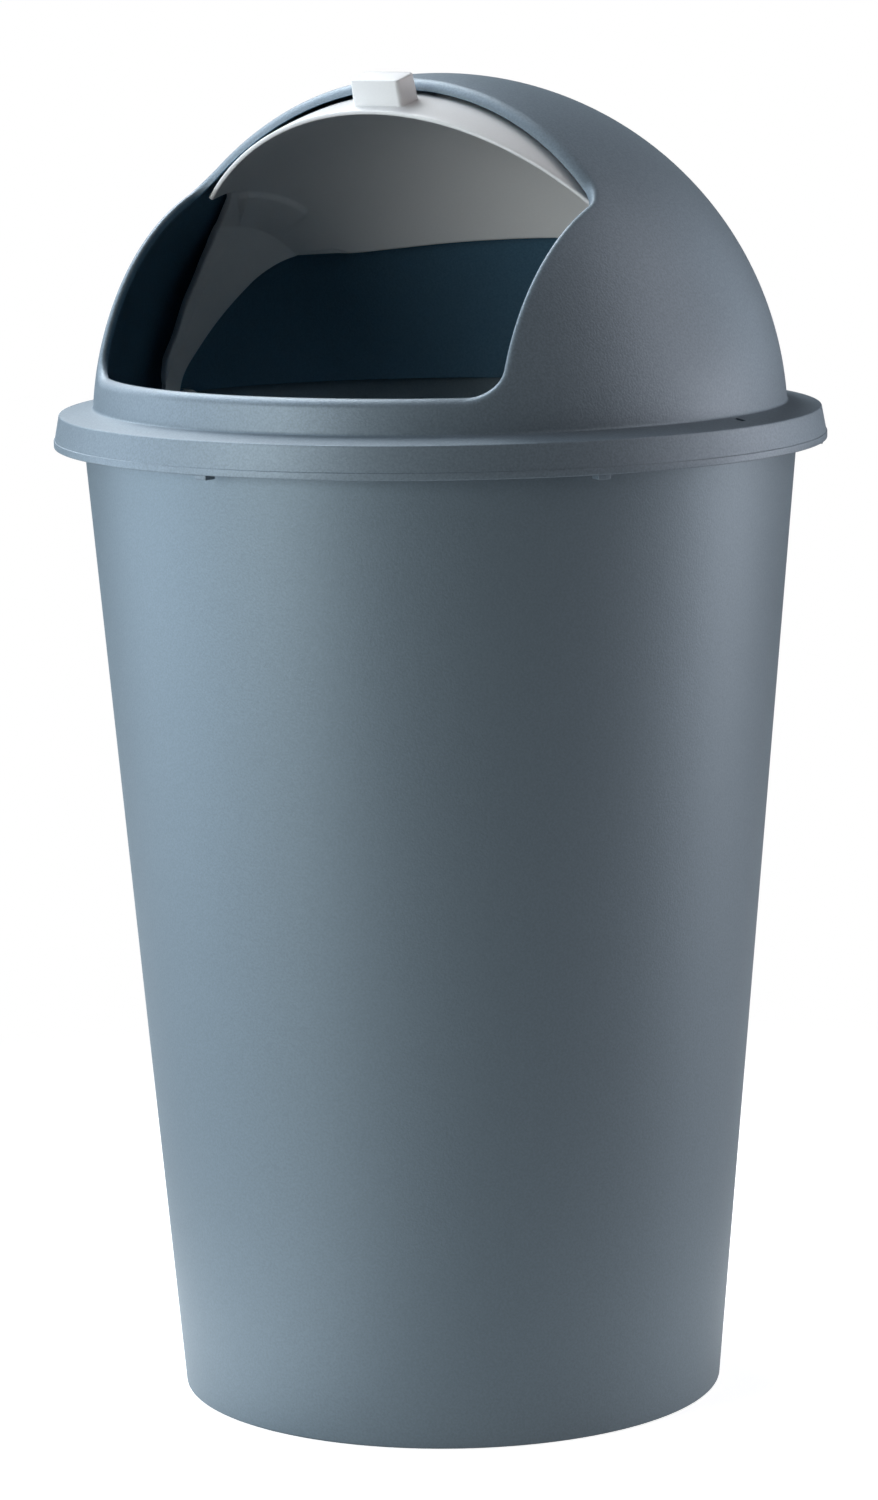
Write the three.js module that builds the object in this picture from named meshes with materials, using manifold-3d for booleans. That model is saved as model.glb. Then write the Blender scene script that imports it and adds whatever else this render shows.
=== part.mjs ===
// Round plastic bin with a domed hood and a turning flap.
// Sizes are in millimetres, with +Z up and the bin standing on z = 0.
// The throw-in opening faces -Y, and the flap turns about an axis along X.

import * as THREE from 'three';
import { mergeVertices } from 'three/addons/utils/BufferGeometryUtils.js';
import Module from 'manifold-3d';

const wasm = await Module();
wasm.setup();

// Bucket
const BUCKET_HEIGHT = 515.7;
const BUCKET_FOOT_RADIUS = 142;
const BUCKET_MOUTH_RADIUS = 185.7;
const BUCKET_WALL = 2.5;
const BUCKET_EDGE_RADIUS = 5;
const FLOOR_LIFT = 6;
const FOOT_RING_WIDTH = 4;
const FOOT_RING_SLOPE_WIDTH = 3;
const RIM_OVERHANG = 4.3;
const RIM_DROP = 10;
const RIM_LIP_WALL = 2;

// Hood: dome, collar and skirt in one moulding
const DOME_INSET = 6;
const HOOD_WALL = 2.5;
const PIVOT_DROP = 11;
const COLLAR_FOOT_ROUND = 1.2;
const COLLAR_FALL_DEG = 10.3;
const SHOULDER_ROUND = 1;
const SKIRT_RIM_GAP = 7.5;
const SKIRT_DROP = 19.6;
const SKIRT_FLARE = 2.7;
const SKIRT_BEAD_HEIGHT = 3.6;
const SKIRT_BEAD_PROUD = 0.4;
const HOOD_SEAT_GAP = 0.3;
const LOCATING_LIP_DEPTH = 0.6;
const LOCATING_LIP_GAP = 2.4;

// Throw-in opening in the dome
const OPENING_HALF_WIDTH_share = 0.6973;
const OPENING_SILL_RISE_share = 0.1586;
const OPENING_ARCH_SETBACK_share = 0.3105;
const OPENING_ARCH_LEAN_DEG = 8.6;
const OPENING_SILL_CORNER = 13;
const OPENING_ARCH_CORNER = 8;
const OPENING_LIP_WALL = 2.5;
const OPENING_LIP_DEPTH = 5;
const OPENING_LIP_ROLL = 4.6;
const OPENING_LIP_ROLL_END_DEG = 66;
const OPENING_MIDDLE_RISE_DEG = 45;

// Slots over the pivots and lugs inside the skirt
const SLOT_LENGTH = 6;
const SLOT_WIDTH = 4;
const SLOT_FROM_FOOT = 1;
const LUG_COUNT = 6;
const LUG_WIDTH = 7;
const LUG_DROP = 2.6;
const LUG_RISE = 4;
const LUG_RIM_GAP = 0.6;
const LUG_BITE = 0.4;

// Pivots: a pin on each arm of the flap, in a socket under the foot of the dome
const PIN_RADIUS = 4;
const PIN_GAP = 0.4;
const SOCKET_RADIUS = 10;
const SOCKET_FLAP_GAP = 1.5;
const SOCKET_BUCKET_GAP = 1.6;
const PIN_END_GAP = 1;

// Flap: part of a thin sphere about the pivots, with an arm at each side
const FLAP_DOME_GAP = 4.7;
const FLAP_WALL = 2.5;
const FLAP_SIDE_RHO_share = 0.655;
const ARM_TOP_RHO_share = 0.565;
const ARM_TOP_REACH_share = 0.7855;
const ARM_FOOT_RHO_share = 0.139;
const ARM_FOOT_REACH_share = 0.965;
const ARM_END_REACH_share = 0.972;
const ARM_END_RADIUS = 10;
const FLAP_FRONT_LEAN_DEG = 25.7;
const FLAP_FRONT_OFFSET_share = 0.1217;
const FLAP_REAR_RISE_DEG = 6.5;
const FLAP_REAR_LEVEL_share = 0.4035;

// Edges of the arm in side view, as shares of the flap's radius: y then z
const ARM_FRONT_TOP_shares = [-0.09, 0.676];
const ARM_FRONT_BEND_shares = [-0.064, 0.51, -0.139, 0.278];
const ARM_FRONT_END_shares = [-0.13, 0.058];
const ARM_TOE_BEND_shares = [-0.104, -0.058];
const ARM_REAR_START_shares = [-0.037, 0.058];
const ARM_REAR_BEND_shares = [0.006, 0.18, 0.128, 0.446];
const ARM_REAR_TOP_Y_share = 0.394;

// Knob near the front edge of the flap
const KNOB_WIDTH = 31.5;
const KNOB_DEPTH = 17.2;
const KNOB_HEIGHT = 14.3;
const KNOB_WALL = 2;
const KNOB_CORNER = 2.5;
const KNOB_TOP_ROUND = 1.5;
const KNOB_DRAFT_share = 0.05;
const KNOB_ANGLE_DEG = 76;
const KNOB_SEAT_GAP = 0.3;

// Facets and the overrun of every cutting solid
const AROUND_STEPS = 64;
const DOME_STEPS = 13;
const FLAP_STEPS = 14;
const ROUND_STEPS = 4;
const PIN_STEPS = 24;
const EDGE_STEPS = 104;
const EDGE_SEARCH_STEPS = 40;
const EDGE_SEARCH_DEG = 80;
const EDGE_FINE_STEPS = 12;
const EDGE_BEND_WEIGHT_share = 0.8;
const INNER_APEX_share = 0.5;
const OUTER_APEX_share = 2;
const OVERRUN = 20;

// Sizes that follow from the ones above
const BUCKET_TAPER = (BUCKET_MOUTH_RADIUS - BUCKET_FOOT_RADIUS) / BUCKET_HEIGHT;
const RIM_RADIUS = BUCKET_MOUTH_RADIUS + RIM_OVERHANG;
const RIM_INNER_RADIUS = BUCKET_MOUTH_RADIUS - BUCKET_WALL;
const DOME_RADIUS = BUCKET_MOUTH_RADIUS - DOME_INSET;
const DOME_INNER_RADIUS = DOME_RADIUS - HOOD_WALL;
const LIP_INNER_RADIUS = DOME_RADIUS - OPENING_LIP_DEPTH;
const COLLAR_ANGLE = THREE.MathUtils.degToRad(COLLAR_FALL_DEG);
const COLLAR_FALL = Math.tan(COLLAR_ANGLE);
const COLLAR_FOOT_RADIUS = sphereRing(DOME_RADIUS, PIVOT_DROP) + COLLAR_FOOT_ROUND;
const COLLAR_FOOT_RISE = HOOD_SEAT_GAP + HOOD_WALL + (RIM_INNER_RADIUS - COLLAR_FOOT_RADIUS) * COLLAR_FALL;
const COLLAR_FOOT_HEIGHT = BUCKET_HEIGHT + COLLAR_FOOT_RISE;
const PIVOT_HEIGHT = COLLAR_FOOT_HEIGHT - PIVOT_DROP;
const SKIRT_INNER_RADIUS = RIM_RADIUS + SKIRT_RIM_GAP;
const SKIRT_RADIUS = SKIRT_INNER_RADIUS + HOOD_WALL;
const SKIRT_BOTTOM_HEIGHT = COLLAR_FOOT_HEIGHT - SKIRT_DROP;
const SKIRT_TOP_RADIUS = SKIRT_RADIUS - SKIRT_FLARE;
const SHOULDER_RADIUS = SKIRT_TOP_RADIUS - SHOULDER_ROUND * (1 - Math.sin(COLLAR_ANGLE));
const OPENING_HALF_WIDTH = DOME_RADIUS * OPENING_HALF_WIDTH_share;
const OPENING_SILL_RISE = DOME_RADIUS * OPENING_SILL_RISE_share;
const OPENING_ARCH_SETBACK = DOME_RADIUS * OPENING_ARCH_SETBACK_share;
const OPENING_MIDDLE_RISE = THREE.MathUtils.degToRad(OPENING_MIDDLE_RISE_DEG);
const FLAP_RADIUS = DOME_INNER_RADIUS - FLAP_DOME_GAP;
const SOCKET_INNER_REACH = FLAP_RADIUS + SOCKET_FLAP_GAP;
const SOCKET_OUTER_REACH = bucketRadius(PIVOT_HEIGHT - SOCKET_RADIUS) - BUCKET_WALL - SOCKET_BUCKET_GAP;

function sphereRing(radius, rise) {
  return Math.sqrt(radius * radius - rise * rise);
}

function bucketRadius(height) {
  return BUCKET_FOOT_RADIUS + BUCKET_TAPER * height;
}

function collarTop(radius) {
  return COLLAR_FOOT_HEIGHT - (radius - COLLAR_FOOT_RADIUS) * COLLAR_FALL;
}

function collarUnderside(radius) {
  return collarTop(radius) - HOOD_WALL;
}

// Points of an arc about a centre, from one angle to another, in a profile's plane
function arcPoints(centreX, centreY, radius, fromDeg, toDeg, steps) {
  const points = [];
  for (let i = 0; i <= steps; i++) {
    const angle = THREE.MathUtils.degToRad(fromDeg + ((toDeg - fromDeg) * i) / steps);
    points.push(new THREE.Vector2(centreX + radius * Math.cos(angle), centreY + radius * Math.sin(angle)));
  }
  return points;
}

// A closed geometry becomes a solid once its shared vertices are one
function solid(geometry) {
  const bare = geometry.clone();
  bare.deleteAttribute('normal');
  bare.deleteAttribute('uv');
  const merged = mergeVertices(bare);
  return new wasm.Manifold(
    new wasm.Mesh({
      numProp: 3,
      vertProperties: new Float32Array(merged.attributes.position.array),
      triVerts: new Uint32Array(merged.index.array),
    })
  );
}

function geometryOf(manifold) {
  const mesh = manifold.getMesh();
  const geometry = new THREE.BufferGeometry();
  geometry.setAttribute('position', new THREE.BufferAttribute(new Float32Array(mesh.vertProperties), 3));
  geometry.setIndex(new THREE.BufferAttribute(new Uint32Array(mesh.triVerts), 1));
  geometry.computeVertexNormals();
  return geometry;
}

// A profile of radius and height, turned about the Z axis
function turned(profile, steps) {
  return new THREE.LatheGeometry(profile, steps).rotateX(Math.PI / 2);
}

// A rounded rectangle about the origin of the plane that it is drawn in
function roundedRectangle(left, bottom, right, top, radius) {
  const shape = new THREE.Shape();
  shape.moveTo(left + radius, bottom);
  shape.lineTo(right - radius, bottom);
  shape.absarc(right - radius, bottom + radius, radius, -Math.PI / 2, 0, false);
  shape.lineTo(right, top - radius);
  shape.absarc(right - radius, top - radius, radius, 0, Math.PI / 2, false);
  shape.lineTo(left + radius, top);
  shape.absarc(left + radius, top - radius, radius, Math.PI / 2, Math.PI, false);
  shape.lineTo(left, bottom + radius);
  shape.absarc(left + radius, bottom + radius, radius, Math.PI, Math.PI * 1.5, false);
  return shape;
}

function extruded(shape, depth, curveSegments) {
  return new THREE.ExtrudeGeometry(shape, { depth, bevelEnabled: false, curveSegments });
}

// A block between two corners
function block(low, high) {
  const size = new THREE.Vector3().subVectors(high, low);
  const middle = new THREE.Vector3().addVectors(high, low).multiplyScalar(0.5);
  return new THREE.BoxGeometry(size.x, size.y, size.z).translate(middle.x, middle.y, middle.z);
}

function bucketGeometry() {
  const ringOuter = BUCKET_FOOT_RADIUS - BUCKET_EDGE_RADIUS;
  const ringInner = ringOuter - FOOT_RING_WIDTH;
  const rimTop = (radius) => collarUnderside(radius) - HOOD_SEAT_GAP;
  const lipInner = RIM_RADIUS - RIM_LIP_WALL;
  const flangeUnderside = rimTop(lipInner) - BUCKET_WALL;
  const lipBottom = rimTop(RIM_RADIUS) - RIM_DROP;
  const floorTop = FLOOR_LIFT + BUCKET_WALL;
  const wallFoot = bucketRadius(floorTop + BUCKET_EDGE_RADIUS) - BUCKET_WALL;
  const floorCorner = arcPoints(
    wallFoot - BUCKET_EDGE_RADIUS,
    floorTop + BUCKET_EDGE_RADIUS,
    BUCKET_EDGE_RADIUS,
    0,
    -90,
    ROUND_STEPS
  );
  const profile = [
    new THREE.Vector2(0, FLOOR_LIFT),
    new THREE.Vector2(ringInner - FOOT_RING_SLOPE_WIDTH, FLOOR_LIFT),
    new THREE.Vector2(ringInner, 0),
    ...arcPoints(ringOuter, BUCKET_EDGE_RADIUS, BUCKET_EDGE_RADIUS, -90, 0, ROUND_STEPS),
    new THREE.Vector2(bucketRadius(flangeUnderside), flangeUnderside),
    new THREE.Vector2(lipInner, flangeUnderside),
    new THREE.Vector2(lipInner, lipBottom),
    new THREE.Vector2(RIM_RADIUS, lipBottom),
    new THREE.Vector2(RIM_RADIUS, rimTop(RIM_RADIUS)),
    new THREE.Vector2(RIM_INNER_RADIUS, rimTop(RIM_INNER_RADIUS)),
    ...floorCorner,
    new THREE.Vector2(0, floorTop),
  ];
  return geometryOf(solid(turned(profile, AROUND_STEPS)));
}

// Points along a sphere's meridian, from a height over its centre to the crown or back
function meridian(radius, fromRise, steps) {
  const fromDeg = THREE.MathUtils.radToDeg(Math.asin(fromRise / radius));
  const points = arcPoints(0, PIVOT_HEIGHT, radius, fromDeg, 90, steps);
  points[steps].x = 0;
  return points;
}

function hoodShell() {
  const lipOuter = RIM_INNER_RADIUS - LOCATING_LIP_GAP;
  const lipBottom = collarUnderside(lipOuter) - LOCATING_LIP_DEPTH;
  const shoulderBottom = collarTop(SHOULDER_RADIUS) - SHOULDER_ROUND * Math.cos(COLLAR_ANGLE);
  const beadTop = SKIRT_BOTTOM_HEIGHT + SKIRT_BEAD_HEIGHT;
  const outerDome = meridian(DOME_RADIUS, COLLAR_FOOT_HEIGHT + COLLAR_FOOT_ROUND - PIVOT_HEIGHT, DOME_STEPS);
  const innerDome = meridian(DOME_INNER_RADIUS, lipBottom - PIVOT_HEIGHT, DOME_STEPS);
  const shoulder = arcPoints(
    SKIRT_TOP_RADIUS - SHOULDER_ROUND,
    shoulderBottom,
    SHOULDER_ROUND,
    0,
    90 - COLLAR_FALL_DEG,
    ROUND_STEPS
  );
  const profile = [
    ...innerDome.reverse(),
    new THREE.Vector2(lipOuter, lipBottom),
    new THREE.Vector2(lipOuter, collarUnderside(lipOuter)),
    new THREE.Vector2(SHOULDER_RADIUS - HOOD_WALL, collarUnderside(SHOULDER_RADIUS - HOOD_WALL)),
    new THREE.Vector2(SKIRT_TOP_RADIUS - HOOD_WALL, shoulderBottom),
    new THREE.Vector2(SKIRT_INNER_RADIUS, SKIRT_BOTTOM_HEIGHT),
    new THREE.Vector2(SKIRT_RADIUS, SKIRT_BOTTOM_HEIGHT),
    new THREE.Vector2(SKIRT_RADIUS, beadTop),
    new THREE.Vector2(SKIRT_RADIUS - SKIRT_BEAD_PROUD, beadTop + SKIRT_BEAD_PROUD),
    ...shoulder,
    new THREE.Vector2(COLLAR_FOOT_RADIUS, COLLAR_FOOT_HEIGHT),
    ...outerDome,
  ];
  return solid(turned(profile, AROUND_STEPS));
}

// How far a point lies outside a rounded rectangle in its plane, negative inside it
function beyondRectangle(x, y, halfWidth, bottom, top, radius) {
  const across = Math.abs(x) - halfWidth + radius;
  const along = Math.max(bottom + radius - y, y - top + radius);
  const outside = Math.hypot(Math.max(across, 0), Math.max(along, 0));
  return outside + Math.min(Math.max(across, along), 0) - radius;
}

// How far a point, measured from between the pivots, lies outside the opening.
// The front view bounds it by the sill and the sides, the leaning plane by the arch.
function beyondOpening(point) {
  const reach = DOME_RADIUS + OVERRUN;
  const lean = THREE.MathUtils.degToRad(OPENING_ARCH_LEAN_DEG);
  const back = (point.y + OPENING_ARCH_SETBACK) * Math.cos(lean) - point.z * Math.sin(lean);
  return Math.max(
    beyondRectangle(point.x, point.z, OPENING_HALF_WIDTH, OPENING_SILL_RISE, 2 * reach, OPENING_SILL_CORNER),
    beyondRectangle(point.x, back, OPENING_HALF_WIDTH, -2 * reach, 0, OPENING_ARCH_CORNER)
  );
}

// A point of the opening's edge, grown by a margin, at a radius and a turn about the opening's middle
function edgePoint(radius, margin, turn) {
  const axis = new THREE.Vector3(1, 0, 0);
  const point = new THREE.Vector3();
  let near = 0;
  let far = THREE.MathUtils.degToRad(EDGE_SEARCH_DEG);
  for (let i = 0; i < EDGE_SEARCH_STEPS; i++) {
    const angle = (near + far) / 2;
    point.set(Math.sin(angle) * Math.cos(turn), -Math.cos(angle), Math.sin(angle) * Math.sin(turn));
    point.applyAxisAngle(axis, -OPENING_MIDDLE_RISE).multiplyScalar(radius);
    if (beyondOpening(point) < margin) {
      near = angle;
    } else {
      far = angle;
    }
  }
  return point;
}

// Turns about the opening's middle for the points of its edge, closer together where it bends
function edgeTurns() {
  const count = EDGE_STEPS * EDGE_FINE_STEPS;
  const full = 2 * Math.PI;
  const fine = Array.from({ length: count + 2 }, (_, i) => edgePoint(DOME_RADIUS, 0, (full * i) / count));
  const runs = fine.slice(1).map((point, i) => new THREE.Vector3().subVectors(point, fine[i]));
  const length = runs.reduce((sum, run) => sum + run.length(), 0);
  const sums = [0];
  for (let i = 0; i < count; i++) {
    const bend = runs[i].angleTo(runs[i + 1]) / full;
    sums.push(sums[i] + runs[i].length() / length + bend * EDGE_BEND_WEIGHT_share);
  }
  const turns = [];
  for (let i = 0; i < EDGE_STEPS; i++) {
    const sum = (sums[count] * i) / EDGE_STEPS;
    turns.push((full * sums.findIndex((value) => value >= sum)) / count);
  }
  return turns;
}

// A solid through rings of the opening's edge, from the innermost ring outwards.
// Each ring is a radius and a margin, and a fan of faces closes each end.
function openingSolid(rings) {
  const turns = edgeTurns();
  const middle = new THREE.Vector3(0, -Math.cos(OPENING_MIDDLE_RISE), Math.sin(OPENING_MIDDLE_RISE));
  const points = [middle.clone().multiplyScalar(rings[0][0] * INNER_APEX_share)];
  for (const [radius, margin] of rings) {
    points.push(...turns.map((turn) => edgePoint(radius, margin, turn)));
  }
  points.push(middle.clone().multiplyScalar(rings[rings.length - 1][0] * OUTER_APEX_share));
  const faces = [];
  const last = points.length - 1;
  for (let i = 0; i < EDGE_STEPS; i++) {
    const next = (i + 1) % EDGE_STEPS;
    faces.push(0, 1 + next, 1 + i);
    for (let from = 1; from < last - EDGE_STEPS; from += EDGE_STEPS) {
      const to = from + EDGE_STEPS;
      faces.push(from + i, from + next, to + next, from + i, to + next, to + i);
    }
    faces.push(last - EDGE_STEPS + i, last - EDGE_STEPS + next, last);
  }
  const geometry = new THREE.BufferGeometry().setFromPoints(points);
  geometry.setIndex(faces);
  return solid(geometry.translate(0, 0, PIVOT_HEIGHT));
}

// The space that the opening takes out of the hood, with the rolled outer edge of its lip
function openingSpace() {
  const rings = [[LIP_INNER_RADIUS - OVERRUN, 0]];
  for (let i = 0; i <= ROUND_STEPS; i++) {
    const angle = THREE.MathUtils.degToRad((OPENING_LIP_ROLL_END_DEG * i) / ROUND_STEPS);
    const sink = OPENING_LIP_ROLL * (1 - Math.sin(angle));
    rings.push([DOME_RADIUS - sink, OPENING_LIP_ROLL * (1 - Math.cos(angle))]);
  }
  const slope = Math.tan(THREE.MathUtils.degToRad(OPENING_LIP_ROLL_END_DEG));
  const [radius, margin] = rings[rings.length - 1];
  rings.push([radius + OPENING_LIP_ROLL, margin + OPENING_LIP_ROLL * slope]);
  return openingSolid(rings);
}

// The solid that the opening's lip is cut from, behind the dome's face
function lipBlank() {
  const outer = (DOME_RADIUS + DOME_INNER_RADIUS) / 2;
  return openingSolid([
    [LIP_INNER_RADIUS, -OPENING_LIP_WALL],
    [LIP_INNER_RADIUS, OPENING_LIP_WALL],
    [outer, OPENING_LIP_WALL],
    [outer, -OPENING_LIP_WALL],
  ]);
}

function ballProfile(radius) {
  const points = arcPoints(0, PIVOT_HEIGHT, radius, -90, 90, 2 * DOME_STEPS);
  points[0].x = 0;
  points[2 * DOME_STEPS].x = 0;
  return points;
}

// A rod along X between two distances from the middle, on the pivots' axis
function axisRod(radius, from, to) {
  return new THREE.CylinderGeometry(radius, radius, to - from, PIN_STEPS)
    .rotateZ(Math.PI / 2)
    .translate((from + to) / 2, 0, PIVOT_HEIGHT);
}

function socket() {
  const boss = solid(axisRod(SOCKET_RADIUS, SOCKET_INNER_REACH, SOCKET_OUTER_REACH));
  const web = solid(
    block(
      new THREE.Vector3(SOCKET_INNER_REACH, -SOCKET_RADIUS, PIVOT_HEIGHT),
      new THREE.Vector3(SOCKET_OUTER_REACH, SOCKET_RADIUS, collarTop(COLLAR_FOOT_RADIUS) - HOOD_WALL / 2)
    )
  );
  return boss.add(web);
}

function slotCut() {
  const from = COLLAR_FOOT_RADIUS + SLOT_FROM_FOOT;
  return solid(
    block(
      new THREE.Vector3(from, -SLOT_WIDTH / 2, SKIRT_BOTTOM_HEIGHT),
      new THREE.Vector3(from + SLOT_LENGTH, SLOT_WIDTH / 2, COLLAR_FOOT_HEIGHT + OVERRUN)
    )
  );
}

function lug(index) {
  const lugBlock = block(
    new THREE.Vector3(RIM_RADIUS + LUG_RIM_GAP, -LUG_WIDTH / 2, SKIRT_BOTTOM_HEIGHT - LUG_DROP),
    new THREE.Vector3(SKIRT_INNER_RADIUS + LUG_BITE, LUG_WIDTH / 2, SKIRT_BOTTOM_HEIGHT + LUG_RISE)
  );
  return solid(lugBlock.rotateZ(-Math.PI / 2 + (index * 2 * Math.PI) / LUG_COUNT));
}

function hoodGeometry() {
  let hood = hoodShell().add(lipBlank()).subtract(openingSpace());
  for (let i = 0; i < LUG_COUNT; i++) {
    hood = hood.add(lug(i));
  }
  for (const turn of [0, 180]) {
    const bore = solid(axisRod(PIN_RADIUS + PIN_GAP, SOCKET_INNER_REACH - OVERRUN, BUCKET_MOUTH_RADIUS));
    hood = hood.add(socket().rotate([0, 0, turn]));
    hood = hood.subtract(slotCut().rotate([0, 0, turn]));
    hood = hood.subtract(bore.rotate([0, 0, turn]));
  }
  return geometryOf(hood);
}

// Profile of the flap's surface turned about the pivots: distance from the axis, then reach along it
function flapProfile(inset) {
  const ball = FLAP_RADIUS - inset;
  const sideRho = FLAP_RADIUS * FLAP_SIDE_RHO_share;
  const sideDeg = THREE.MathUtils.radToDeg(Math.acos(sideRho / ball));
  const arm = [
    [ARM_TOP_RHO_share, ARM_TOP_REACH_share],
    [ARM_FOOT_RHO_share, ARM_FOOT_REACH_share],
    [0, ARM_END_REACH_share],
  ].map(([rho, reach]) => new THREE.Vector2(FLAP_RADIUS * rho, FLAP_RADIUS * reach + FLAP_WALL - inset));
  const mirrored = arm.map((point) => new THREE.Vector2(point.x, -point.y)).reverse();
  return [...mirrored, ...arcPoints(0, 0, ball, -sideDeg, sideDeg, FLAP_STEPS), ...arm];
}

// Outline of the flap in side view, y forwards from the pivots and z up from them
function flapOutline() {
  const reach = FLAP_RADIUS + OVERRUN;
  const at = (share) => share * FLAP_RADIUS;
  const frontLean = Math.tan(THREE.MathUtils.degToRad(FLAP_FRONT_LEAN_DEG));
  const rearRise = Math.tan(THREE.MathUtils.degToRad(FLAP_REAR_RISE_DEG));
  const frontEdge = (z) => at(FLAP_FRONT_OFFSET_share) - z * frontLean;
  const rearEdge = (y) => at(FLAP_REAR_LEVEL_share) + y * rearRise;
  const cornerZ = at(FLAP_SIDE_RHO_share);
  const rearTopY = at(ARM_REAR_TOP_Y_share);
  const shape = new THREE.Shape();
  shape.moveTo(frontEdge(reach), reach);
  shape.lineTo(frontEdge(cornerZ), cornerZ);
  shape.lineTo(...ARM_FRONT_TOP_shares.map(at));
  shape.bezierCurveTo(...ARM_FRONT_BEND_shares.map(at), ...ARM_FRONT_END_shares.map(at));
  shape.quadraticCurveTo(...ARM_TOE_BEND_shares.map(at), 0, -ARM_END_RADIUS);
  shape.absarc(0, 0, ARM_END_RADIUS, -Math.PI / 2, Math.PI / 2, false);
  shape.lineTo(...ARM_REAR_START_shares.map(at));
  shape.bezierCurveTo(...ARM_REAR_BEND_shares.map(at), rearTopY, rearEdge(rearTopY));
  shape.lineTo(reach, rearEdge(reach));
  shape.lineTo(reach, reach);
  return shape;
}

function flapGeometry() {
  const span = 2 * (FLAP_RADIUS + OVERRUN);
  const skin = solid(turned(flapProfile(0), AROUND_STEPS).rotateY(Math.PI / 2));
  const hollow = solid(turned(flapProfile(FLAP_WALL), AROUND_STEPS).rotateY(Math.PI / 2));
  const outline = solid(
    extruded(flapOutline(), span, 2 * ROUND_STEPS)
      .translate(0, 0, -span / 2)
      .rotateY(Math.PI / 2)
      .rotateX(Math.PI / 2)
  );
  let flap = skin.subtract(hollow).intersect(outline).translate([0, 0, PIVOT_HEIGHT]);
  for (const turn of [0, 180]) {
    const pin = axisRod(PIN_RADIUS, FLAP_RADIUS * ARM_END_REACH_share, SOCKET_OUTER_REACH - PIN_END_GAP);
    flap = flap.add(solid(pin).rotate([0, 0, turn]));
  }
  return geometryOf(flap);
}

// A drafted block with rounded corners that stands on the origin
function draftedBlock(width, depth, height, corner, topRound) {
  const shape = roundedRectangle(-width / 2, -depth / 2, width / 2, depth / 2, corner);
  const body = new THREE.ExtrudeGeometry(shape.clone(), {
    depth: height,
    bevelEnabled: true,
    bevelThickness: topRound,
    bevelSize: topRound,
    bevelOffset: -topRound,
    bevelSegments: 2,
    curveSegments: ROUND_STEPS,
  });
  const position = body.attributes.position;
  for (let i = 0; i < position.count; i++) {
    const rise = position.getZ(i) / height;
    const scale = 1 - KNOB_DRAFT_share * rise;
    position.setX(i, position.getX(i) * scale);
    position.setY(i, position.getY(i) * scale);
  }
  return body;
}

function knobGeometry() {
  const sink = FLAP_RADIUS - sphereRing(FLAP_RADIUS, KNOB_WIDTH);
  const shaft = KNOB_HEIGHT + sink - KNOB_TOP_ROUND;
  const body = solid(draftedBlock(KNOB_WIDTH, KNOB_DEPTH, shaft, KNOB_CORNER, KNOB_TOP_ROUND));
  const hollow = solid(
    draftedBlock(
      KNOB_WIDTH - 2 * KNOB_WALL,
      KNOB_DEPTH - 2 * KNOB_WALL,
      shaft - KNOB_WALL,
      KNOB_CORNER / 2,
      KNOB_TOP_ROUND / 2
    )
  );
  const tilt = KNOB_ANGLE_DEG - 90;
  const seat = solid(turned(ballProfile(FLAP_RADIUS + KNOB_SEAT_GAP), AROUND_STEPS));
  const stand = (piece) =>
    piece
      .translate([0, 0, FLAP_RADIUS - sink])
      .rotate([-tilt, 0, 0])
      .translate([0, 0, PIVOT_HEIGHT]);
  return geometryOf(stand(body).subtract(stand(hollow)).subtract(seat));
}

function plastic(color, roughness) {
  return new THREE.MeshStandardMaterial({ color, roughness, metalness: 0 });
}

function part(name, geometry, material) {
  const mesh = new THREE.Mesh(geometry, material);
  mesh.name = name;
  return mesh;
}

const bin = new THREE.Group();
bin.add(part('bucket', bucketGeometry(), plastic(0x748490, 0.5)));
bin.add(part('hood', hoodGeometry(), plastic(0x738491, 0.5)));
bin.add(part('flap', flapGeometry(), plastic(0xe7e7e7, 0.3)));
bin.add(part('knob', knobGeometry(), plastic(0xe7e7e7, 0.4)));

export default bin;
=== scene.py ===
"""Looks of a round waste bin with a domed hood and a turning flap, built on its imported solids."""

import math

import bmesh
import bpy
import numpy as np
from mathutils import Matrix, Vector


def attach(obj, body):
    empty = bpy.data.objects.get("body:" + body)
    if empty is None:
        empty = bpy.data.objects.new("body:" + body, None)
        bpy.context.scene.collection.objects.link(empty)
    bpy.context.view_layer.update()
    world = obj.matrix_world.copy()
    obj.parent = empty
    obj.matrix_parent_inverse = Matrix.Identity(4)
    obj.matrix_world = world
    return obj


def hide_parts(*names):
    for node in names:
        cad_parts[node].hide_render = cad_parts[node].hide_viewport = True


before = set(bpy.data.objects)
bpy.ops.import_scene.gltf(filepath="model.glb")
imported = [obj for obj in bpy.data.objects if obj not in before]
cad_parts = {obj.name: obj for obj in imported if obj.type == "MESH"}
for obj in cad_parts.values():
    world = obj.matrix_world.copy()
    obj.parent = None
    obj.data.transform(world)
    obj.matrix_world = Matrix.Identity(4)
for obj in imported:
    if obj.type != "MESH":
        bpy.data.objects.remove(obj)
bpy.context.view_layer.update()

# The bin's sizes are in millimetres and become metres in mesh_object
MM = 0.001

# Bucket
BUCKET_HEIGHT = 515.6
BUCKET_FOOT_RADIUS = 142.0
BUCKET_MOUTH_RADIUS = 185.7
BUCKET_WALL = 2.5
BUCKET_EDGE_RADIUS = 1.6
FLOOR_LIFT = 6.0
FOOT_RING_WIDTH = 5.5
FOOT_RING_SLOPE_WIDTH = 3.0
RIM_RADIUS = 190.0
RIM_DROP = 10.0
RIM_LIP_WALL = 2.0
RIM_ROUND = 0.8

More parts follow.
